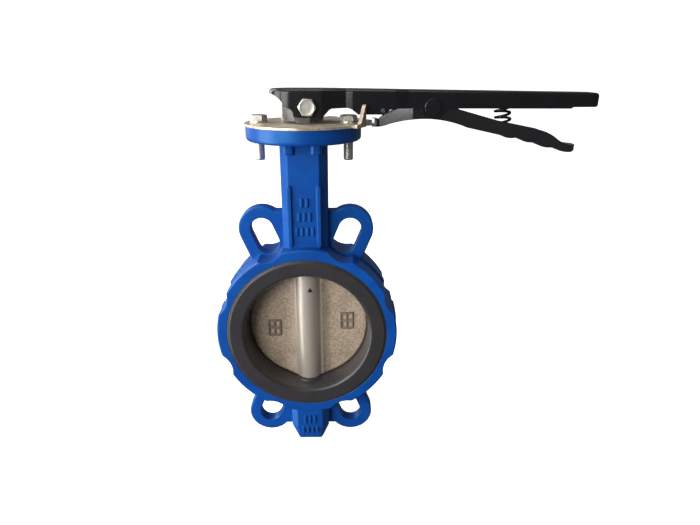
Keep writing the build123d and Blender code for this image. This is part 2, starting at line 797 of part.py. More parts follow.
# --- trigger: a tooth arm at one end, an open-topped finger grip at the other --------------------
with BuildPart() as trigger:
    # seen from above: a thin arm, then the full width from the pivot to the tip
    with BuildSketch(Plane.XY.offset(trigger_floor)):
        with BuildLine():
            for side in (-1, 1):
                Polyline(
                    (53.3, side * (tooth_half - 1.0)),
                    (55.3, side * tooth_half),
                    (trigger_arm_x, side * tooth_half),
                    (trigger_full_x, side * trigger_half),
                    (trigger_end_x - tip_round, side * trigger_half),
                )
                RadiusArc(
                    (trigger_end_x - tip_round, side * trigger_half),
                    (trigger_end_x, side * (trigger_half - tip_round)),
                    side * tip_round,
                )
            Line((53.3, tooth_half - 1.0), (53.3, 1.0 - tooth_half))
            Line((trigger_end_x, trigger_half - tip_round), (trigger_end_x, tip_round - trigger_half))
        make_face()
    extrude(amount=60)
    # seen from the front: tooth, arch under the pivot, four finger scallops, curled tip
    with BuildSketch(Plane.XZ):
        with BuildLine():
            Polyline((53.0, 170.0), (53.0, 176.4), (55.0, 176.6), (58.3, 175.6), (62.9, 179.4))
            Polyline((62.9, 179.4), (72.0, 183.4), (84, 188.0), (pivot_x, 192.6), (110, 189))
            Polyline((110, 189), (120.2, 182.9), (154.2, 173.7), (184.5, 167.8))
            ThreePointArc((184.5, 167.8), (190.5, 165.5), (196.0, 162.2))
            ThreePointArc((196.0, 162.2), (203.5, 158.0), (214.4, 156.8))
            ThreePointArc((214.4, 156.8), (212.8, 153.0), (208.8, 151.3))
            ThreePointArc((208.8, 151.3), (201.6, 151.9), (194.2, 154.9))
            ThreePointArc((194.2, 154.9), (187.0, 155.2), (179.0, 158.8))
            ThreePointArc((179.0, 158.8), (172.6, 159.1), (165.6, 162.6))
            ThreePointArc((165.6, 162.6), (159.6, 162.0), (152.5, 164.2))
            Line((152.5, 164.2), (126, 169.9))
            ThreePointArc((126, 169.9), (92.0, 176.3), (66.0, 171.9))
            ThreePointArc((66.0, 171.9), (60.0, 170.1), (53.0, 170.0))
        make_face()
    extrude(amount=30, both=True, mode=Mode.INTERSECT)
    # hollow of the grip, open upwards
    with BuildSketch(Plane.XZ):
        Polygon(
            (112.0, 200.0),
            (112.0, 176.0),
            (126.0, 172.8),
            (152.0, spring_foot[1] + 0.1),
            (164.0, spring_foot[1] - 2.2),
            (190.0, 159.2),
            (200.0, 160.6),
            (200.0, 200.0),
            align=None,
        )
    extrude(amount=trigger_half - trigger_wall, both=True, mode=Mode.SUBTRACT)
    with BuildSketch(Plane.XZ):
        with Locations((pivot_x, pivot_z)):
            Circle(pivot_r + pivot_gap)
    extrude(amount=30, both=True, mode=Mode.SUBTRACT)

finish(trigger, "trigger")

# --- spring between the lever's crown and the trigger's floor ------------------------------------
rise = Vector(spring_top[0] - spring_foot[0], 0, spring_top[1] - spring_foot[1])
spring_plane = Plane(
    origin=(spring_foot[0], 0, spring_foot[1]) + rise.normalized() * (spring_wire_r + 0.25),
    x_dir=(0, 1, 0),
    z_dir=rise,
)
spring_height = rise.length - 2 * spring_wire_r - 0.6
with BuildPart() as trigger_spring:
    with BuildLine(spring_plane):
        coil = Helix(spring_height / spring_turns, spring_height, spring_r)
    with BuildSketch(Plane(origin=coil @ 0, z_dir=coil % 0)):
        Circle(spring_wire_r)
    sweep(path=coil, is_frenet=True)

finish(trigger_spring, "trigger_spring")
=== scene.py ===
# %% [markdown]
# # A wafer butterfly valve with a trigger lever
# The valve is blue enamel over cast iron, a black rubber seat, a nickel-coated disc, and a hand
# lever in black enamel over a zinc-plated notch plate. The CAD model gives every size. Here each
# piece gets its finish, and the pieces whose small shapes matter most - the disc's blended hub,
# screw threads, the coil spring - are worked out again as surfaces.

import bmesh
import bpy
import numpy as np
from mathutils import Matrix, Vector


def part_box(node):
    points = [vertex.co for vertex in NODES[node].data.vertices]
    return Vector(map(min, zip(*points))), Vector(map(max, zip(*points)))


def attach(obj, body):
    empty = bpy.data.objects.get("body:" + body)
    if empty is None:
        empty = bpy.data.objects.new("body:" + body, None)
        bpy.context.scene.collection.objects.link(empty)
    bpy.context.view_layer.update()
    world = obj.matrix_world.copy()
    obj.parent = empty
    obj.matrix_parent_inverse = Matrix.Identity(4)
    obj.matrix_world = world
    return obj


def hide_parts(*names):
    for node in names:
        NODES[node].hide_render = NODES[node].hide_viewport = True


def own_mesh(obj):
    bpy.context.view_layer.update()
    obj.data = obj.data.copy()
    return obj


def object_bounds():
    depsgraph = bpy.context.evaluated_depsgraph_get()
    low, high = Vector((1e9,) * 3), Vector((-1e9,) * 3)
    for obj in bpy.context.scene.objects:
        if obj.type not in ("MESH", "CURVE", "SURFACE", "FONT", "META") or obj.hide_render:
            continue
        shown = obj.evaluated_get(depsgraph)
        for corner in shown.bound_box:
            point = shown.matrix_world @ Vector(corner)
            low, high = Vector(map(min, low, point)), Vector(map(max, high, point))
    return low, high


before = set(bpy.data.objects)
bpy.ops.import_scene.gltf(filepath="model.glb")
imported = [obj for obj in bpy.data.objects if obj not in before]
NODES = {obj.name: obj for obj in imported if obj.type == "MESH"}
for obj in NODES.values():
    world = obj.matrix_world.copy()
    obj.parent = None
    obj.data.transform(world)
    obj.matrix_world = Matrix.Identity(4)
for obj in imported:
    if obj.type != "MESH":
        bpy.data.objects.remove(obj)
cad_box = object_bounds()
MM = 0.001
scene = bpy.context.scene
print("CAD box", cad_box)

# %% [markdown]
# ## Camera
# The valve is seen from the front and a little above, from less than half a metre, so verticals
# lean in towards the foot. The camera is written as a place and three angles, and its axes are
# worked out from them, which keeps the numbers readable.

# %% Camera
CAMERA_PLACE = Vector((30.67, -428.72, 214.0)) * MM
CAMERA_YAW, CAMERA_PITCH, CAMERA_ROLL = 0.01355, 0.35233, 0.00235
CAMERA_LENS = 27.453


def camera_axes(yaw, pitch, roll):
    """Forward is +Y turned by yaw towards +X and tipped down by pitch; right is level, up is
    right crossed with forward, and roll then turns right and up about forward."""
    forward = Vector((np.sin(yaw) * np.cos(pitch), np.cos(yaw) * np.cos(pitch), -np.sin(pitch)))
    right = Vector((np.cos(yaw), -np.sin(yaw), 0.0))
    up = right.cross(forward)
    return (
        right * np.cos(roll) + up * np.sin(roll),
        up * np.cos(roll) - right * np.sin(roll),
        forward,
    )


camera = bpy.data.objects.new("camera", bpy.data.cameras.new("camera"))
scene.collection.objects.link(camera)
right, up, forward = camera_axes(CAMERA_YAW, CAMERA_PITCH, CAMERA_ROLL)
turn = Matrix((right, up, -forward)).transposed()
camera.matrix_world = Matrix.Translation(CAMERA_PLACE) @ turn.to_4x4()
camera.data.lens = CAMERA_LENS
camera.data.sensor_width = 36.0
camera.data.clip_start = 0.01
camera.data.dof.use_dof = False
scene.camera = camera
print("camera at", tuple(round(v, 3) for v in camera.location))

# %% [markdown]
# ## Surfaces from arrays
# Every new piece is a grid of points worked out with numpy. One helper turns a grid into quads
# and closes it round, and another makes an object of several grids, so each shape function below
# only has to say where its points are.

# %% Grid to mesh
def grid_faces(rows, columns, wrap_columns=False):
    """Quads between neighbours of a rows x columns grid; wrapped columns join the last column
    of points to the first."""
    index = np.arange(rows * columns).reshape(rows, columns)
    if wrap_columns:
        index = np.hstack([index, index[:, :1]])
    return np.stack(
        [index[:-1, :-1], index[1:, :-1], index[1:, 1:], index[:-1, 1:]], axis=-1
    ).reshape(-1, 4)


SAME_POINT = 1e-7


def shell(name, parts, sharp_degrees=None):
    """One mesh object from several (points, faces) pairs, in millimetres, shaded smooth, with
    edges sharper than sharp_degrees kept crisp and every closed form facing outwards."""
    points = np.vstack([p for p, f in parts]) * MM
    starts = np.cumsum([0] + [len(p) for p, f in parts[:-1]])
    faces = [row for (p, f), start in zip(parts, starts) for row in (np.asarray(f) + start).tolist()]
    mesh = bpy.data.meshes.new(name)
    mesh.from_pydata(points.tolist(), [], faces)
    piece = bpy.data.objects.new(name, mesh)
    scene.collection.objects.link(piece)
    work = bmesh.new()
    work.from_mesh(mesh)
    bmesh.ops.remove_doubles(work, verts=work.verts, dist=SAME_POINT)
    bmesh.ops.recalc_face_normals(work, faces=work.faces)
    work.to_mesh(mesh)
    work.free()
    mesh.shade_smooth()
    if sharp_degrees:
        mesh.set_sharp_from_angle(angle=np.radians(sharp_degrees))
    print(name, len(mesh.vertices), "points", len(mesh.polygons), "faces")
    return piece


print("helpers ready")

# %% [markdown]
# ## Shader maths
# A node graph is easier to read as arithmetic. Wire wraps one output socket and gives it Python's
# operators, so `1 - mask * 0.5` adds its Math nodes. Finish owns a material, makes any other
# node through one method, and ends in a Principled shader.

# %% Wire and Finish
class Wire:
    """One socket, with arithmetic."""

    def __init__(self, finish, socket):
        self.finish, self.socket = finish, socket

    def _math(self, operation, first, second):
        return self.finish.node("ShaderNodeMath", {"operation": operation}, {0: first, 1: second})

    def __add__(self, other):
        return self._math("ADD", self, other)

    def __sub__(self, other):
        return self._math("SUBTRACT", self, other)

    def __rsub__(self, other):
        return self._math("SUBTRACT", other, self)

    def __mul__(self, other):
        return self._math("MULTIPLY", self, other)

    def __abs__(self):
        return self._math("ABSOLUTE", self, 0.0)

    __radd__, __rmul__ = __add__, __mul__


class Finish:
    """A material made of procedural nodes on Object coordinates, in metres."""

    def __init__(self, name):
        self.material = bpy.data.materials.new(name)
        self.material.use_nodes = True
        self.tree = self.material.node_tree
        self.tree.nodes.clear()
        self.shader = self.tree.nodes.new("ShaderNodeBsdfPrincipled")
        output = self.tree.nodes.new("ShaderNodeOutputMaterial")
        self.tree.links.new(self.shader.outputs[0], output.inputs["Surface"])
        self.place = self.node("ShaderNodeTexCoord", out="Object")

    def node(self, kind, settings=None, values=None, out=0):
        """Adds a node: settings first, then a value or a Wire for each named socket."""
        made = self.tree.nodes.new(kind)
        for key, value in (settings or {}).items():
            setattr(made, key, value)
        for key, value in (values or {}).items():
            self.put(made.inputs[key], value)
        return Wire(self, made.outputs[out])

    def put(self, socket, value):
        """Links a Wire to the socket, or sets the socket's own value."""
        if isinstance(value, Wire):
            self.tree.links.new(value.socket, socket)
        else:
            socket.default_value = value

    def axis(self, name):
        """The place along X, Y or Z, in metres."""
        return self.node("ShaderNodeSeparateXYZ", values={0: self.place}, out=name)

    def noise(self, size_mm, detail=3.0, rough=0.55, stretch=(1, 1, 1), seed=0.0):
        """Smooth noise from 0 to 1 whose lumps are about size_mm across."""
        where = self.node(
            "ShaderNodeMapping",
            values={"Vector": self.place, "Scale": stretch, "Location": (seed, seed * 0.7, -seed)},
        )
        lumps = {"Scale": 1 / (size_mm * MM), "Detail": detail, "Roughness": rough}
        return self.node("ShaderNodeTexNoise", values={"Vector": where, **lumps}, out="Fac")

    def cells(self, size_mm):
        """Distance to the nearest of scattered points about size_mm apart, in cells."""
        return self.node(
            "ShaderNodeTexVoronoi",
            values={"Vector": self.place, "Scale": 1 / (size_mm * MM), "Randomness": 1.0},
            out="Distance",
        )

    def step(self, value, low, high):
        """0 below low, 1 above high, smooth in between."""
        return self.node(
            "ShaderNodeMapRange",
            {"interpolation_type": "SMOOTHSTEP", "clamp": True},
            {0: value, 1: low, 2: high, 3: 0.0, 4: 1.0},
        )

    def tint(self, share, first, second):
        """A colour from first to second."""
        return self.node(
            "ShaderNodeMix",
            {"data_type": "RGBA"},
            {"Factor": share, 6: first, 7: second},
            out=2,
        )

    def bump(self, height, depth_mm, under=None):
        """Normals of a height from 0 to 1 that is depth_mm deep, on top of the normals under it."""
        values = {"Height": height, "Distance": depth_mm * MM, "Strength": 1.0}
        if under is not None:
            values["Normal"] = under
        return self.node("ShaderNodeBump", {}, values)

    def rounded_edges(self, radius_mm):
        """Normals as if each sharp edge had been rounded to radius_mm."""
        return self.node("ShaderNodeBevel", {"samples": 6}, {"Radius": radius_mm * MM})

    def done(self, **sockets):
        """Sets or links the Principled shader's sockets, named with _ for a space."""
        for key, value in sockets.items():
            self.put(self.shader.inputs[key.replace("_", " ")], value)
        print("finish", self.material.name, len(self.tree.nodes), "nodes")
        return self.material


def rgb(red, green, blue):
    """An opaque colour, linear."""
    return (red, green, blue, 1.0)


def grey(level):
    return rgb(level, level, level)


def paint(piece, material):
    """Gives a piece one material, in place of what it has."""
    piece.data.materials.clear()
    piece.data.materials.append(material)


# %% [markdown]
# ## Light and stage
# A product shot of glossy enamel needs one big soft source on one side, so that every upright
# edge carries a clean highlight and the far side falls away, and a white surround for the rest.
# The floor curves up into a wall all round, so no horizon cuts the picture. The paper glows only
# for the lens, as if the valve hung well in front of it, so black enamel mirrors a dark room and
# not paper.

# %% Stage
FLOOR_GAP = 0.0005
FLOOR_FLAT, FLOOR_CURVE, WALL_TOP = 2.4, 0.8, 5.0
PINHOLE = 0.0005


def bowl(floor_z, flat, curve, top, steps=96):
    """A profile turned about Z: level out to flat, a quarter circle of radius curve, then straight
    up to top, so the stage is closed all round. A pinhole at the middle keeps each face a quad."""
    angle = np.linspace(0, np.pi / 2, 17)
    r = np.concatenate([[PINHOLE], flat + curve * np.sin(angle), [flat + curve]])
    z = np.concatenate([[0.0], curve * (1 - np.cos(angle)), [top]]) + floor_z
    turn = np.linspace(0, 2 * np.pi, steps, endpoint=False)
    x, y = r[:, None] * np.cos(turn), r[:, None] * np.sin(turn)
    points = np.stack(np.broadcast_arrays(x, y, z[:, None]), axis=-1)
    return points.reshape(-1, 3), grid_faces(len(r), steps, wrap_columns=True)


points, faces = bowl(cad_box[0][2] - FLOOR_GAP, FLOOR_FLAT, FLOOR_CURVE, WALL_TOP)
mesh = bpy.data.meshes.new("backdrop")
mesh.from_pydata(points.tolist(), [], faces.tolist())
mesh.shade_smooth()
backdrop = bpy.data.objects.new("backdrop", mesh)
scene.collection.objects.link(backdrop)
sheet = Finish("backdrop_paper")
fibre = sheet.noise(2.0, 2.0)
paint(
    backdrop,
    sheet.done(
        Base_Color=sheet.tint(fibre, grey(0.80), grey(0.84)),
        Roughness=0.9,
        Emission_Color=grey(1.0),
        Emission_Strength=1.0,
    ),
)
# the lens sees the paper, but the lamps alone light the valve and show in its gloss
backdrop.visible_diffuse = False
backdrop.visible_glossy = False
backdrop.visible_shadow = False

# %% Light
scene.view_settings.view_transform = "Standard"
scene.world = bpy.data.worlds.new("studio")
scene.world.use_nodes = True
room = scene.world.node_tree.nodes["Background"]
room.inputs["Color"].default_value = rgb(0.9, 0.95, 1.0)
room.inputs["Strength"].default_value = 0.12


def softbox(name, place, aim, width, height, watts):
    """A white rectangular area light at place, turned to face aim."""
    lamp = bpy.data.lights.new(name, "AREA")
    lamp.shape = "RECTANGLE"
    lamp.size = width
    lamp.size_y = height
    lamp.energy = watts
    holder = bpy.data.objects.new(name, lamp)
    scene.collection.objects.link(holder)
    look = (Vector(aim) - Vector(place)).to_track_quat("-Z", "Y")
    holder.matrix_world = Matrix.Translation(place) @ look.to_matrix().to_4x4()
    print(name, watts, "W")


softbox("key_left", (-1.25, -0.38, 0.10), (0.0, 0.0, 0.05), 0.8, 2.0, 30.0)
softbox("back_left", (-0.95, 0.80, 0.60), (0.0, 0.0, 0.05), 0.7, 1.2, 9.0)
softbox("top", (-0.1, -0.05, 1.1), (0.0, 0.0, 0.0), 0.9, 0.7, 4.0)
softbox("front_fill", (-0.78, -1.20, 0.45), (0.0, 0.0, 0.0), 0.9, 0.8, 18.0)

# %% [markdown]
# ## Finishes
# Enamel is a coloured base under a clear skin. It pulls thin on sharp edges and pools in corners,
# follows the cast grain beneath it softly, and dries with a faint orange peel. So the base
# colour, the roughness and the bump each come from noise at their own scale.

# %% Enamel on the casting and the lever
COAT_ROUGHNESS = 0.09


def enamel(name, thin, full, grain_mm, grain_depth, roughness, edge_mm, gloss, sheen):
    """Enamel over metal: thin and full are the colour where the coat is lean and where it pools,
    sheen tints what the resin mirrors, and gloss is the weight of the clear skin."""
    coat = Finish(name)
    flow = coat.noise(22.0, 3.0, 0.5)
    speckle = coat.noise(0.9, 2.0, 0.6, seed=3.1)
    share = coat.step(flow * 0.7 + speckle * 0.3, 0.30, 0.72)
    grain = coat.noise(grain_mm, 4.0, 0.62)
    peel = coat.noise(1.6, 1.0, 0.4, seed=7.7)
    edges = coat.rounded_edges(edge_mm)
    rough_cast = coat.bump(grain, grain_depth, edges)
    skin = coat.bump(peel, 0.02, rough_cast)
    coat.done(
        Base_Color=coat.tint(share, thin, full),
        Roughness=flow * 0.10 + speckle * 0.06 + (roughness - 0.08),
        Normal=skin,
        Specular_Tint=sheen,
        Coat_Weight=gloss,
        Coat_Roughness=COAT_ROUGHNESS,
    )
    return coat.material


body_enamel = enamel(
    "body_enamel",
    thin=rgb(0.005, 0.076, 0.36),
    full=rgb(0.0035, 0.050, 0.285),
    grain_mm=3.2,
    grain_depth=0.12,
    roughness=0.36,
    edge_mm=1.3,
    gloss=0.07,
    sheen=rgb(0.30, 0.82, 1.0),
)
lever_enamel = enamel(
    "lever_enamel",
    thin=rgb(0.0095, 0.0085, 0.010),
    full=rgb(0.006, 0.0055, 0.0065),
    grain_mm=7.0,
    grain_depth=0.03,
    roughness=0.28,
    edge_mm=0.8,
    gloss=0.35,
    sheen=grey(0.5),
)

# %% [markdown]
# The trigger has the same black enamel, but its tooth scrapes along the notches each time the
# valve is turned, so the coat is gone at the very tip. A mask on X, broken up by noise, shows
# bare steel there.

# %% Trigger enamel, worn at the tooth
TOOTH_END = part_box("trigger")[0].x
BARE_FULL, BARE_GONE = TOOTH_END + 0.0030, TOOTH_END + 0.0055


def worn_enamel():
    """Black enamel that gives way to bare steel near the tooth's end."""
    coat = Finish("trigger_enamel")
    ragged = coat.noise(1.5, 3.0, 0.6)
    bare = coat.step(coat.axis("X") + ragged * 0.004, BARE_GONE, BARE_FULL)
    flow = coat.noise(16.0, 3.0, 0.5)
    peel = coat.noise(1.6, 1.0, 0.4, seed=7.7)
    edges = coat.rounded_edges(0.7)
    black = coat.tint(flow, rgb(0.008, 0.0075, 0.009), rgb(0.013, 0.012, 0.013))
    coat.done(
        Base_Color=coat.tint(bare, black, grey(0.55)),
        Metallic=bare,
        Roughness=flow * 0.12 + 0.17 + bare * 0.12,
        Normal=coat.bump(peel - bare * 2.0, 0.03, edges),
        Coat_Weight=0.8 - bare * 0.8,
        Coat_Roughness=COAT_ROUGHNESS,
    )
    return coat.material


trigger_enamel = worn_enamel()

# %% [markdown]
# ## Plated steel
# Zinc plate is a thin bright metal skin. Passivation turns it faintly yellow, in soft clouds that
# lean to pink and green, and handling leaves fine scratches. The notch plate was cut from rolled
# sheet, so its scratches run mostly one way. Screws are tumbled, so theirs run every way.

# %% Zinc plate
def plated(name, clouds, roughness, scratch_stretch, scratch_depth, edge_mm, dull=0.0):
    """Zinc plate or bare steel: clouds is the pair of colours that the surface drifts between, and
    dull is the share that grime and oxide take from the metal."""
    metal = Finish(name)
    drift = metal.noise(11.0, 3.0, 0.6)
    spangle = metal.noise(2.2, 2.0, 0.5, seed=4.0)
    scratch = metal.noise(0.8, 2.0, 0.7, stretch=scratch_stretch, seed=1.0)
    cross = metal.noise(1.4, 2.0, 0.7, stretch=(4.0, 0.35, 1.0), seed=9.0)
    share = metal.step(drift * 0.75 + spangle * 0.25, 0.32, 0.68)
    edges = metal.rounded_edges(edge_mm)
    metal.done(
        Base_Color=metal.tint(share, clouds[0], clouds[1]),
        Metallic=1.0 - dull,
        Roughness=spangle * 0.10 + scratch * 0.12 + (roughness - 0.08),
        Normal=metal.bump(scratch * 0.7 + cross * 0.3, scratch_depth, edges),
    )
    return metal.material


plate_zinc = plated(
    "plate_zinc",
    clouds=(rgb(0.46, 0.34, 0.21), rgb(0.78, 0.70, 0.57)),
    roughness=0.32,
    scratch_stretch=(0.25, 5.0, 1.0),
    scratch_depth=0.03,
    edge_mm=0.35,
    dull=0.55,
)
screw_zinc = plated(
    "screw_zinc",
    clouds=(rgb(0.62, 0.58, 0.50), rgb(0.80, 0.78, 0.74)),
    roughness=0.30,
    scratch_stretch=(1.0, 1.0, 2.0),
    scratch_depth=0.012,
    edge_mm=0.25,
    dull=0.15,
)
bare_steel = plated(
    "bare_steel",
    clouds=(rgb(0.10, 0.095, 0.09), rgb(0.17, 0.165, 0.16)),
    roughness=0.52,
    scratch_stretch=(1.0, 1.0, 4.0),
    scratch_depth=0.03,
    edge_mm=0.3,
)
stem_steel = plated(
    "stem_steel",
    clouds=(rgb(0.54, 0.53, 0.52), rgb(0.62, 0.61, 0.60)),
    roughness=0.24,
    scratch_stretch=(1.0, 1.0, 6.0),
    scratch_depth=0.01,
    edge_mm=0.3,
)
black_steel = plated(
    "black_steel",
    clouds=(rgb(0.018, 0.017, 0.017), rgb(0.035, 0.033, 0.032)),
    roughness=0.34,
    scratch_stretch=(1.0, 1.0, 1.0),
    scratch_depth=0.02,
    edge_mm=0.2,
    dull=0.4,
)

# %% [markdown]
# ## Rubber, bronze, nylon and resin
# The seat is moulded EPDM: nearly black, satin, with a faint bloom that lightens it in patches,
# fine mould texture and a few specks of dust. The bushings, washers and backing ring are out of
# sight, but each still has the finish of its stuff, because the model can be taken apart.

# %% Rubber
def rubber(name, dark, bloom, roughness):
    """Moulded rubber with a faint bloom."""
    skin = Finish(name)
    patch = skin.noise(18.0, 4.0, 0.6)
    fine = skin.noise(0.7, 2.0, 0.6, seed=2.0)
    specks = skin.step(skin.cells(2.6), 0.045, 0.025) * skin.step(patch, 0.45, 0.6)
    skin.done(
        Base_Color=skin.tint(specks * 0.5, skin.tint(patch, dark, bloom), grey(0.16)),
        Roughness=patch * 0.16 + specks * 0.2 + (roughness - 0.08),
        Normal=skin.bump(fine, 0.025, skin.rounded_edges(1.6)),
        Sheen_Weight=0.06,
    )
    return skin.material


seat_rubber = rubber("seat_rubber", rgb(0.022, 0.020, 0.022), rgb(0.036, 0.033, 0.037), 0.34)
seal_rubber = rubber("seal_rubber", grey(0.010), grey(0.018), 0.30)

# %% Bronze, nylon and resin
def turned(name, first, second, metallic, roughness, ring_mm):
    """Turned on a lathe about the stem's axis: fine rings stacked along Z under a soft drift."""
    stock = Finish(name)
    drift = stock.noise(9.0, 3.0, 0.55)
    rings = stock.noise(ring_mm, 1.0, 0.5, stretch=(0.02, 0.02, 1.0))
    stock.done(
        Base_Color=stock.tint(drift, first, second),
        Metallic=metallic,
        Roughness=rings * 0.16 + drift * 0.08 + (roughness - 0.1),
        Normal=stock.bump(rings, 0.02, stock.rounded_edges(0.3)),
    )
    return stock.material


bronze = turned("bronze", rgb(0.44, 0.27, 0.12), rgb(0.56, 0.38, 0.19), 1.0, 0.34, 0.5)
nylon = turned("nylon", rgb(0.60, 0.58, 0.50), rgb(0.70, 0.68, 0.61), 0.0, 0.45, 0.8)
resin = turned("resin", rgb(0.045, 0.026, 0.014), rgb(0.075, 0.045, 0.024), 0.0, 0.40, 0.6)

# %% Finishes onto the CAD nodes
for node, material in {
    "valve_body": body_enamel,
    "lever": lever_enamel,
    "trigger_pivot": lever_enamel,
    "trigger": trigger_enamel,
    "notch_plate": plate_zinc,
    "lock_washers": screw_zinc,
    "stop_pin": bare_steel,
    "lever_socket": bare_steel,
    "stem": stem_steel,
    "disc_pins": stem_steel,
    "stem_retaining_ring": black_steel,
    "seat_liner": seat_rubber,
    "stem_o_rings": seal_rubber,
    "upper_bushing": bronze,
    "middle_bushing": bronze,
    "lower_bushing": bronze,
    "top_thrust_washer": nylon,
    "foot_thrust_pad": nylon,
    "seat_backing": resin,
}.items():
    paint(NODES[node], material)
print("painted CAD nodes")

# %% [markdown]
# ## The disc
# The disc is cast with its hub across the middle. Each wing swells towards the hub and meets it in
# a soft crease. The swell catches the light as a bright band beside a dark line, so the disc is
# worked out again as a height over its round outline: a hub arc, the swell, then the flat wing,
# with the rim rounded over.

# %% Disc shape
DISC_R, HUB_R, DISC_FLAT_Z = (float(reach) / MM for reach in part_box("disc")[1])
WING_HALF = 3.4
SWELL_RISE, SWELL_END = 2.6, 8.5
CREASE = 0.5
RIM_ROUND, RIM_FLATTEN = 2.2, 0.75


def hub_profile(x):
    """Half thickness across the hub. The wing swells by SWELL_RISE towards the hub over the last
    SWELL_END mm, as a squared ramp, and the hub's circle rises from it. The two are joined by a
    smooth maximum, (a + b + sqrt((a - b)^2 + CREASE^2)) / 2, which leaves a soft crease."""
    x = np.abs(x)
    near = np.clip((HUB_R + SWELL_END - x) / SWELL_END, 0, 1)
    wing = WING_HALF + SWELL_RISE * near**2
    on_hub = np.sqrt(np.clip(HUB_R**2 - x**2, 0, None))
    joined = (wing + on_hub + np.sqrt((wing - on_hub) ** 2 + CREASE**2)) / 2
    return np.minimum(np.where(x < HUB_R + 2, joined, wing), HUB_R)


def disc_half_thickness(x, z):
    """The hub profile, rounded over within RIM_ROUND of the round edge, in an arc that falls
    RIM_FLATTEN of its radius."""
    inside = np.clip(DISC_R - np.hypot(x, z), 0, RIM_ROUND)
    drop = RIM_ROUND - np.sqrt(RIM_ROUND**2 - (RIM_ROUND - inside) ** 2)
    return hub_profile(x) - RIM_FLATTEN * drop


EDGE_ROWS = 7


def disc_form(steps=150):
    """Both faces and the edge. A square grid (u, v), closer near its sides, is drawn out to a
    circle by x = u sqrt(1 - v v / 2), z = v sqrt(1 - u u / 2), then cut flat at the top and
    bottom; rows of points across the edge join the two faces' outlines."""
    line = np.sin(np.linspace(-np.pi / 2, np.pi / 2, steps)) * 0.6 + np.linspace(-0.4, 0.4, steps)
    u, v = np.meshgrid(line, line, indexing="ij")
    x = DISC_R * u * np.sqrt(1 - v**2 / 2)
    z = np.clip(DISC_R * v * np.sqrt(1 - u**2 / 2), -DISC_FLAT_Z, DISC_FLAT_Z)
    half = disc_half_thickness(x, z)
    faces = grid_faces(steps, steps)
    front = np.stack([x, -half, z], axis=-1)
    back = np.stack([x, half, z], axis=-1)
    ring = np.concatenate(
        [
            np.stack([np.arange(steps), np.zeros(steps, int)]),
            np.stack([np.full(steps, steps - 1), np.arange(steps)]),
            np.stack([np.arange(steps)[::-1], np.full(steps, steps - 1)]),
            np.stack([np.zeros(steps, int), np.arange(steps)[::-1]]),
        ],
        axis=1,
    )
    share = np.linspace(0, 1, EDGE_ROWS)[:, None, None]
    rim = front[ring[0], ring[1]] * (1 - share) + back[ring[0], ring[1]] * share
    return [
        (front.reshape(-1, 3), faces),
        (back.reshape(-1, 3), faces),
        (rim.reshape(-1, 3), grid_faces(EDGE_ROWS, rim.shape[1])),
    ]


disc = shell("disc_casting", disc_form(), sharp_degrees=55)

# %% [markdown]
# ## Raised marks
# Foundries cast plain marks into the disc and the boss. Each stroke here is a superquadric, a
# box whose edges and corners are rounded by one number, half sunk in the surface it stands on.

# %% Raised bars
def raised_bar(centre, across, along, out, rounding=0.35, steps=(9, 28)):
    """A superquadric with half axes across, along and out, each a vector:
    centre + across c(a) c(b) + along c(a) s(b) + out s(a), where c and s are the cosine and
    sine raised to the power rounding with their sign kept."""

    def power(value):
        return np.sign(value) * np.abs(value) ** rounding

    lat = np.linspace(-np.pi / 2, np.pi / 2, steps[0])[:, None]
    lon = np.linspace(0, 2 * np.pi, steps[1], endpoint=False)[None, :]
    a = power(np.cos(lat)) * power(np.cos(lon))
    b = power(np.cos(lat)) * power(np.sin(lon))
    c = power(np.sin(lat)) * np.ones_like(lon)
    points = (
        np.asarray(centre)
        + a[..., None] * np.asarray(across)
        + b[..., None] * np.asarray(along)
        + c[..., None] * np.asarray(out)
    )
    return points.reshape(-1, 3), grid_faces(steps[0], steps[1], wrap_columns=True)


MARK_SPOTS = ((-30.0, -3.5), (33.6, 3.2))
MARK_WIDE, MARK_TALL, MARK_LINE, MARK_PROUD = 12.0, 16.0, 1.9, 1.2


def frame_mark(x, z, face):
    """A plain frame with a cross inside it, on the front (face = -1) or the back."""
    y = face * WING_HALF
    out = (0, face * MARK_PROUD, 0)
    wide, tall, line = MARK_WIDE / 2, MARK_TALL / 2, MARK_LINE / 2
    for dx, dz, half_x, half_z in (
        (0, tall - line, wide, line),
        (0, line - tall, wide, line),
        (wide - line, 0, line, tall),
        (line - wide, 0, line, tall),
        (0, 0, line, tall),
        (0, 0, wide, line),
    ):
        yield raised_bar((x + dx, y, z + dz), (half_x, 0, 0), (0, 0, half_z), out)


marks = [bar for x, z in MARK_SPOTS for face in (-1, 1) for bar in frame_mark(x, z, face)]
disc_marks = shell("disc_marks", marks)

# %% Arrow on the hub
ARROW_SPOT = (2.4, 35.2)
ARROW_R = 3.2
ARROW_ROUND = 0.86
ARROW_LIFT, ARROW_SINK = 0.12, 0.3


def arrow_form(face, rings=7, steps=48):
    """A rounded triangle laid on the hub. Its outline is ARROW_ROUND of a triangle of radius
    ARROW_R and a share of a circle, and each point sits ARROW_LIFT outside the hub's circle,
    falling to ARROW_SINK inside it at the outline."""
    angle = np.linspace(0, 2 * np.pi, steps, endpoint=False)[None, :]
    share = np.linspace(0, 1, rings)[:, None]
    sector = (angle + np.pi / 6) % (2 * np.pi / 3) - np.pi / 3
    inner = ARROW_R / 2
    outline = inner / np.cos(sector) * ARROW_ROUND + inner * 0.22
    x = ARROW_SPOT[0] + share * outline * np.cos(angle)
    z = ARROW_SPOT[1] + share * outline * np.sin(angle)
    lift = np.where(share < 0.99, ARROW_LIFT - 0.10 * share**6, -ARROW_SINK) * np.ones_like(angle)
    y = face * (np.sqrt(HUB_R**2 - x**2) + lift)
    return np.stack([x, y, z], axis=-1).reshape(-1, 3), grid_faces(rings, steps, wrap_columns=True)


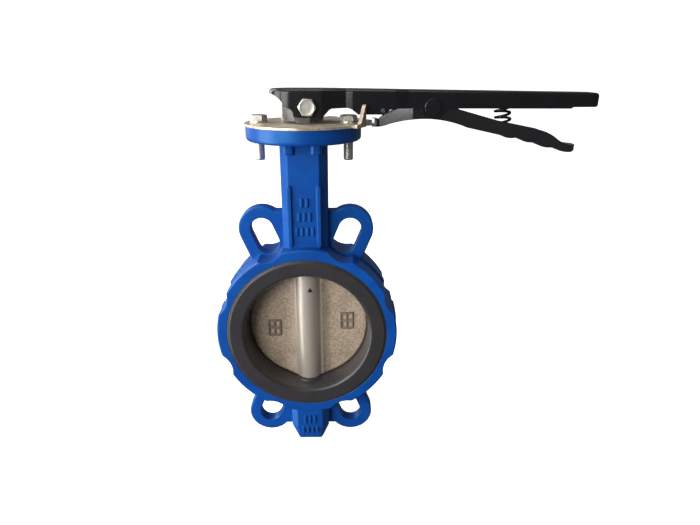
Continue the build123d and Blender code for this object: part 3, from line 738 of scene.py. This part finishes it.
arrow = shell("hub_arrow", [arrow_form(-1), arrow_form(1)])

# %% [markdown]
# The disc's finish changes with place: the wings are as cast, grainy and khaki, and the hub was
# run through a polisher, so it is smoother and brighter, with draw lines along its length. The
# mask is the distance from the stem's axis in X.

# %% Disc finish
POLISH_FULL, POLISH_GONE = 0.0112, 0.0132
WING_DARK, WING_LIGHT = (0.30, 0.225, 0.155), (0.60, 0.48, 0.36)
HUB_DARK, HUB_LIGHT = (0.50, 0.42, 0.34), (0.68, 0.61, 0.54)


def disc_finish(name, shade):
    """Nickel-coated casting: grainy wings, polished hub. The last argument darkens the wings'
    colour; below 1 it is painted shade.
    """
    metal = Finish(name)
    across = abs(metal.axis("X"))
    ragged = metal.noise(4.0, 2.0, 0.5) * 0.0012
    polished = metal.step(across + ragged, POLISH_GONE, POLISH_FULL)
    grain = metal.noise(1.5, 3.0, 0.75)
    pits = metal.step(metal.cells(1.9), 0.10, 0.32)
    stain = metal.noise(24.0, 4.0, 0.6)
    draw = metal.noise(0.8, 2.0, 0.6, stretch=(1.0, 1.0, 0.04))
    blotch = metal.step(stain * 0.30 + grain * 0.70, 0.36, 0.64)
    dark, light = (rgb(*(part * shade for part in colour)) for colour in (WING_DARK, WING_LIGHT))
    wing = metal.tint(blotch, dark, light)
    hub = metal.tint(draw * 0.6 + grain * 0.4, rgb(*HUB_DARK), rgb(*HUB_LIGHT))
    cast = (grain * 0.8 + pits * 0.2) * (1.0 - polished * 0.55)
    metal.done(
        Base_Color=metal.tint(polished, wing, hub),
        Metallic=polished * 0.30 + 0.25,
        Roughness=0.48 - polished * 0.18 + grain * 0.12 + stain * 0.06,
        Normal=metal.bump(cast + draw * polished * 0.12, 0.26),
    )
    return metal.material


paint(disc, disc_finish("disc_nickel", 1.0))
# the raised marks get the disc's finish with the wings' colour at 0.45: painted shade for the small
# shadows of the raised strokes
paint(disc_marks, disc_finish("mark_nickel_painted_shade", 0.45))
ink = Finish("mark_ink")
ink_wear = ink.noise(0.8, 3.0, 0.6)
paint(
    arrow,
    ink.done(
        Base_Color=ink.tint(ink_wear, grey(0.008), grey(0.03)),
        Roughness=ink_wear * 0.3 + 0.35,
        Normal=ink.bump(ink_wear, 0.02),
    ),
)
for piece in (disc, disc_marks, arrow):
    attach(piece, "operator")
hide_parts("disc")

# %% [markdown]
# ## Bolts
# A bolt is a surface about its own axis. Going out from the middle of the head the radius grows,
# meets the cone that takes off the hexagon's corners, drops down the flats, comes in under the
# head to the shank, and runs down the thread, whose radius rises and falls once a pitch and moves
# on by one pitch in each turn.

# %% Bolt shape
AXIS_R = 0.01


def hexagon_radius(angle, half_flats):
    """Distance from the axis to a hexagon's side in each direction."""
    return half_flats / np.cos((angle + np.pi / 6) % (np.pi / 3) - np.pi / 6)


def bolt_form(half_flats, head, shank_r, plain, length, pitch, turn, steps=72):
    """Rows of points round the axis, from the middle of the head to the tip. Z is 0 under the
    head. The thread's radius is shank_r less 0.55 pitch times a rounded saw of z / pitch less
    the angle's share of a turn."""
    angle = np.linspace(0, 2 * np.pi, steps, endpoint=False)
    hexagon = hexagon_radius(angle - turn, half_flats)
    crown = half_flats * 0.94
    fall = np.tan(np.radians(28))
    dishes = ((0.0, 0.10), (0.5, 0.10), (0.86, 0.09), (0.93, 0.0), (1.0, 0.0))
    rows = [
        (np.full(steps, max(crown * share, AXIS_R)), np.full(steps, head - dish))
        for share, dish in dishes
    ]
    for share in (0.33, 0.66, 1.0):
        r = crown + (hexagon - crown) * share
        rows.append((r, head - (r - crown) * fall))
    rows.append((hexagon, np.full(steps, 0.35)))
    rows.append((hexagon - 0.25, np.zeros(steps)))
    rows.append((np.full(steps, shank_r), np.zeros(steps)))
    depths = np.linspace(plain, length - 0.02, int((length - plain) / pitch * 7) + 2)
    for depth in depths:
        phase = (depth / pitch - angle / (2 * np.pi)) % 1.0
        saw = np.clip(1.25 - 2.5 * np.abs(phase - 0.5), 0, 1)
        taper = np.clip((length - depth) / pitch, 0.0, 1.0)
        run_in = np.clip((depth - plain) / pitch, 0.0, 1.0)
        r = shank_r - 0.55 * pitch * (1 - saw) * run_in * 0.9
        rows.append((np.minimum(r, shank_r * (0.80 + 0.20 * taper)), np.full(steps, -depth)))
    rows.append((np.full(steps, shank_r * 0.78), np.full(steps, -length)))
    rows.append((np.full(steps, AXIS_R), np.full(steps, -length)))
    radius = np.array([r for r, z in rows])
    z = np.array([z for r, z in rows])
    points = np.stack([radius * np.cos(angle), radius * np.sin(angle), z], axis=-1)
    return points.reshape(-1, 3), grid_faces(len(rows), steps, wrap_columns=True)


def placed(form, origin, rows=((1, 0, 0), (0, 1, 0), (0, 0, 1))):
    """The same form with its X, Y and Z axes along the three given directions, at origin."""
    points, faces = form
    return points @ np.array(rows, float) + np.array(origin), faces


BOLT_X = 35.0
BOLT_SHARP = 24
BOLT_HALF_FLATS, BOLT_HEAD, BOLT_R, BOLT_PITCH = 6.0, 4.6, 4.0, 1.25
PLATE_BOLT_PLAIN, SET_BOLT_PLAIN = 13.0, 1.0
PLATE_BOLT_TURN, SET_BOLT_TURN = np.radians(30), np.radians(27)


def bolt(plain, length, turn):
    return bolt_form(BOLT_HALF_FLATS, BOLT_HEAD, BOLT_R, plain, length, BOLT_PITCH, turn)


bolts_low, bolts_high = (np.array(corner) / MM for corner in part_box("plate_bolts"))
seat_z = bolts_high[2] - BOLT_HEAD
plate_bolt = bolt(PLATE_BOLT_PLAIN, seat_z - bolts_low[2], PLATE_BOLT_TURN)
plate_bolts = shell(
    "plate_bolts_threaded",
    [placed(plate_bolt, (x, 0, seat_z)) for x in (-BOLT_X, BOLT_X)],
    sharp_degrees=BOLT_SHARP,
)
set_low, set_high = (np.array(corner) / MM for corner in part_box("set_bolt"))
set_x, _, set_z = (set_low + set_high) / 2
set_seat = set_low[1] + BOLT_HEAD
set_form = bolt(SET_BOLT_PLAIN, set_high[1] - set_seat, SET_BOLT_TURN)
set_bolt = shell(
    "set_bolt_threaded",
    [placed(set_form, (set_x, set_seat, set_z), ((1, 0, 0), (0, 0, 1), (0, -1, 0)))],
    sharp_degrees=BOLT_SHARP,
)
for piece, body, node in ((plate_bolts, "body", "plate_bolts"), (set_bolt, "operator", "set_bolt")):
    paint(piece, screw_zinc)
    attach(piece, body)
    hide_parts(node)

# %% [markdown]
# ## Spring
# A compression spring is a tube along a helix. Its end coils are wound close and ground flat, so
# the helix climbs slowly at both ends and fast between.

# %% Spring shape
SPRING_FOOT = np.array((156.8, 0.0, 166.9))
SPRING_TOP = np.array((153.1, 0.0, 193.0))
SPRING_R, WIRE_R, SPRING_TURNS = 5.6, 1.05, 6.0
END_GAP = WIRE_R + 0.3
SQUEEZE_AXIS, SQUEEZE_KEEP = (0.216, 0.0, 0.976), 0.574


def spring_form(steps=420, sides=12):
    """Centre line: turn t of n is at height h(t), where h climbs 2.2 wire radii in the first and
    last turn and evenly between; the tube is a circle in the plane square to the line."""
    axis = SPRING_TOP - SPRING_FOOT
    height = np.linalg.norm(axis)
    axis = axis / height
    side = np.cross((0, 1, 0), axis)
    side = side / np.linalg.norm(side)
    other = np.cross(axis, side)
    turns = np.linspace(0, SPRING_TURNS, steps)
    close = 2.2 * WIRE_R
    climb = np.interp(
        turns,
        [0, 1, SPRING_TURNS - 1, SPRING_TURNS],
        [END_GAP, END_GAP + close, height - END_GAP - close, height - END_GAP],
    )
    angle = turns * 2 * np.pi
    line = SPRING_FOOT + climb[:, None] * axis
    line = line + SPRING_R * (np.cos(angle)[:, None] * side + np.sin(angle)[:, None] * other)
    along = np.gradient(line, axis=0)
    along = along / np.linalg.norm(along, axis=1)[:, None]
    outward = np.cos(angle)[:, None] * side + np.sin(angle)[:, None] * other
    outward = outward - (outward * along).sum(1)[:, None] * along
    outward = outward / np.linalg.norm(outward, axis=1)[:, None]
    third = np.cross(along, outward)
    round_ = np.linspace(0, 2 * np.pi, sides, endpoint=False)
    size = np.ones(steps)
    size[[0, -1]] = 0.02
    spoke = np.cos(round_)[None, :, None] * outward[:, None, :]
    spoke = spoke + np.sin(round_)[None, :, None] * third[:, None, :]
    tube = line[:, None, :] + WIRE_R * size[:, None, None] * spoke
    return tube.reshape(-1, 3), grid_faces(steps, sides, wrap_columns=True)


spring = shell("trigger_coil", [spring_form()])
paint(spring, black_steel)
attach(spring, "operator")
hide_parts("trigger_spring")
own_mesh(spring)
tuple(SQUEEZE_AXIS)
